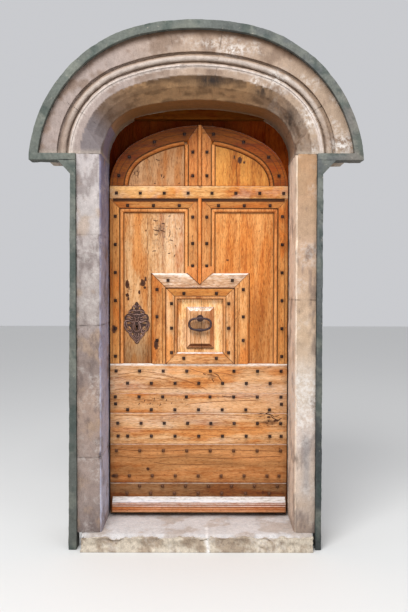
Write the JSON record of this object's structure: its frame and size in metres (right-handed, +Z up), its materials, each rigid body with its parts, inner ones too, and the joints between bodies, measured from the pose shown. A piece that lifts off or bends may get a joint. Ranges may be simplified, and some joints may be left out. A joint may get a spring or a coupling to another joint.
{
  "type": "arched wooden door",
  "caption": "Arched studded timber door, panelled above and planked below, with ring knocker and lock, hung in a moulded stone surround with painted border and sill.",
  "frame": {"origin": "Under the sill, on the front plane of the jamb stones, at the middle of the opening.", "axes": "+X right seen from the street, +Y into the wall, +Z up."},
  "size_m": [1.7034, 0.464, 2.7066],
  "materials": {
    "limestone": "matte",
    "painted_render": "matte",
    "oak": "satin",
    "dark_oak": "matte",
    "wrought_iron": "matte"
  },
  "bodies": {
    "surround": {"arch_haunch_left": "limestone", "arch_haunch_right": "limestone", "arch_keystone": "limestone", "arch_springer_left": "limestone", "arch_springer_right": "limestone", "border_band_arch": "painted_render", "border_band_left": "painted_render", "border_band_right": "painted_render", "head_rail": "dark_oak", "left_jamb_stone_1": "limestone", "left_jamb_stone_2": "limestone", "left_jamb_stone_3": "limestone", "left_jamb_stone_4": "limestone", "lock_keeper": "wrought_iron", "pintles": "wrought_iron", "right_jamb_stone_1": "limestone", "right_jamb_stone_2": "limestone", "sill_stone": "limestone"},
    "leaf": {"arch_rim_left": "oak", "arch_rim_right": "oak", "back_plank_1": "dark_oak", "back_plank_2": "dark_oak", "back_plank_3": "dark_oak", "back_plank_4": "dark_oak", "boss_panel": "oak", "centre_strip_left": "oak", "centre_strip_right": "oak", "cross_rail": "oak", "door_nails": "wrought_iron", "escutcheon": "wrought_iron", "inner_frame_bottom": "oak", "inner_frame_left": "oak", "inner_frame_right": "oak", "inner_frame_top": "oak", "lock_case": "wrought_iron", "lower_plank_1": "oak", "lower_plank_2": "oak", "lower_plank_3": "oak", "lower_plank_4": "oak", "lower_plank_5": "oak", "middle_panel_left": "oak", "middle_panel_right": "oak", "middle_top_strip_left": "oak", "middle_top_strip_right": "oak", "ridge_lower": "oak", "ridge_upper": "oak", "ring_eye": "wrought_iron", "side_strip_left": "oak", "side_strip_right": "oak", "square_side_strip_left": "oak", "square_side_strip_right": "oak", "square_top_strip": "oak", "strap_hinges": "wrought_iron", "upper_centre_strip_left": "oak", "upper_centre_strip_right": "oak", "upper_panel_left": "oak", "upper_panel_right": "oak", "weatherboard": "oak"},
    "ring": {"knocker_ring": "wrought_iron"},
    "bolt": {"lock_bolt": "wrought_iron"}
  },
  "joints": [
    {"name": "leaf_hinge", "type": "hinge", "parent": "surround", "child": "leaf", "pos_m": [0.54, 0.3765, 1.1], "axis": [0, 0, -1], "range_deg": [0, 105]},
    {"name": "ring_pivot", "type": "hinge", "parent": "leaf", "child": "ring", "pos_m": [0.008, 0.2465, 1.183], "axis": [-1, 0, 0], "range_deg": [-7, 180]},
    {"name": "bolt_slide", "type": "slide", "parent": "leaf", "child": "bolt", "axis": [-1, 0, 0], "range_m": [0, 0.03]}
  ]
}
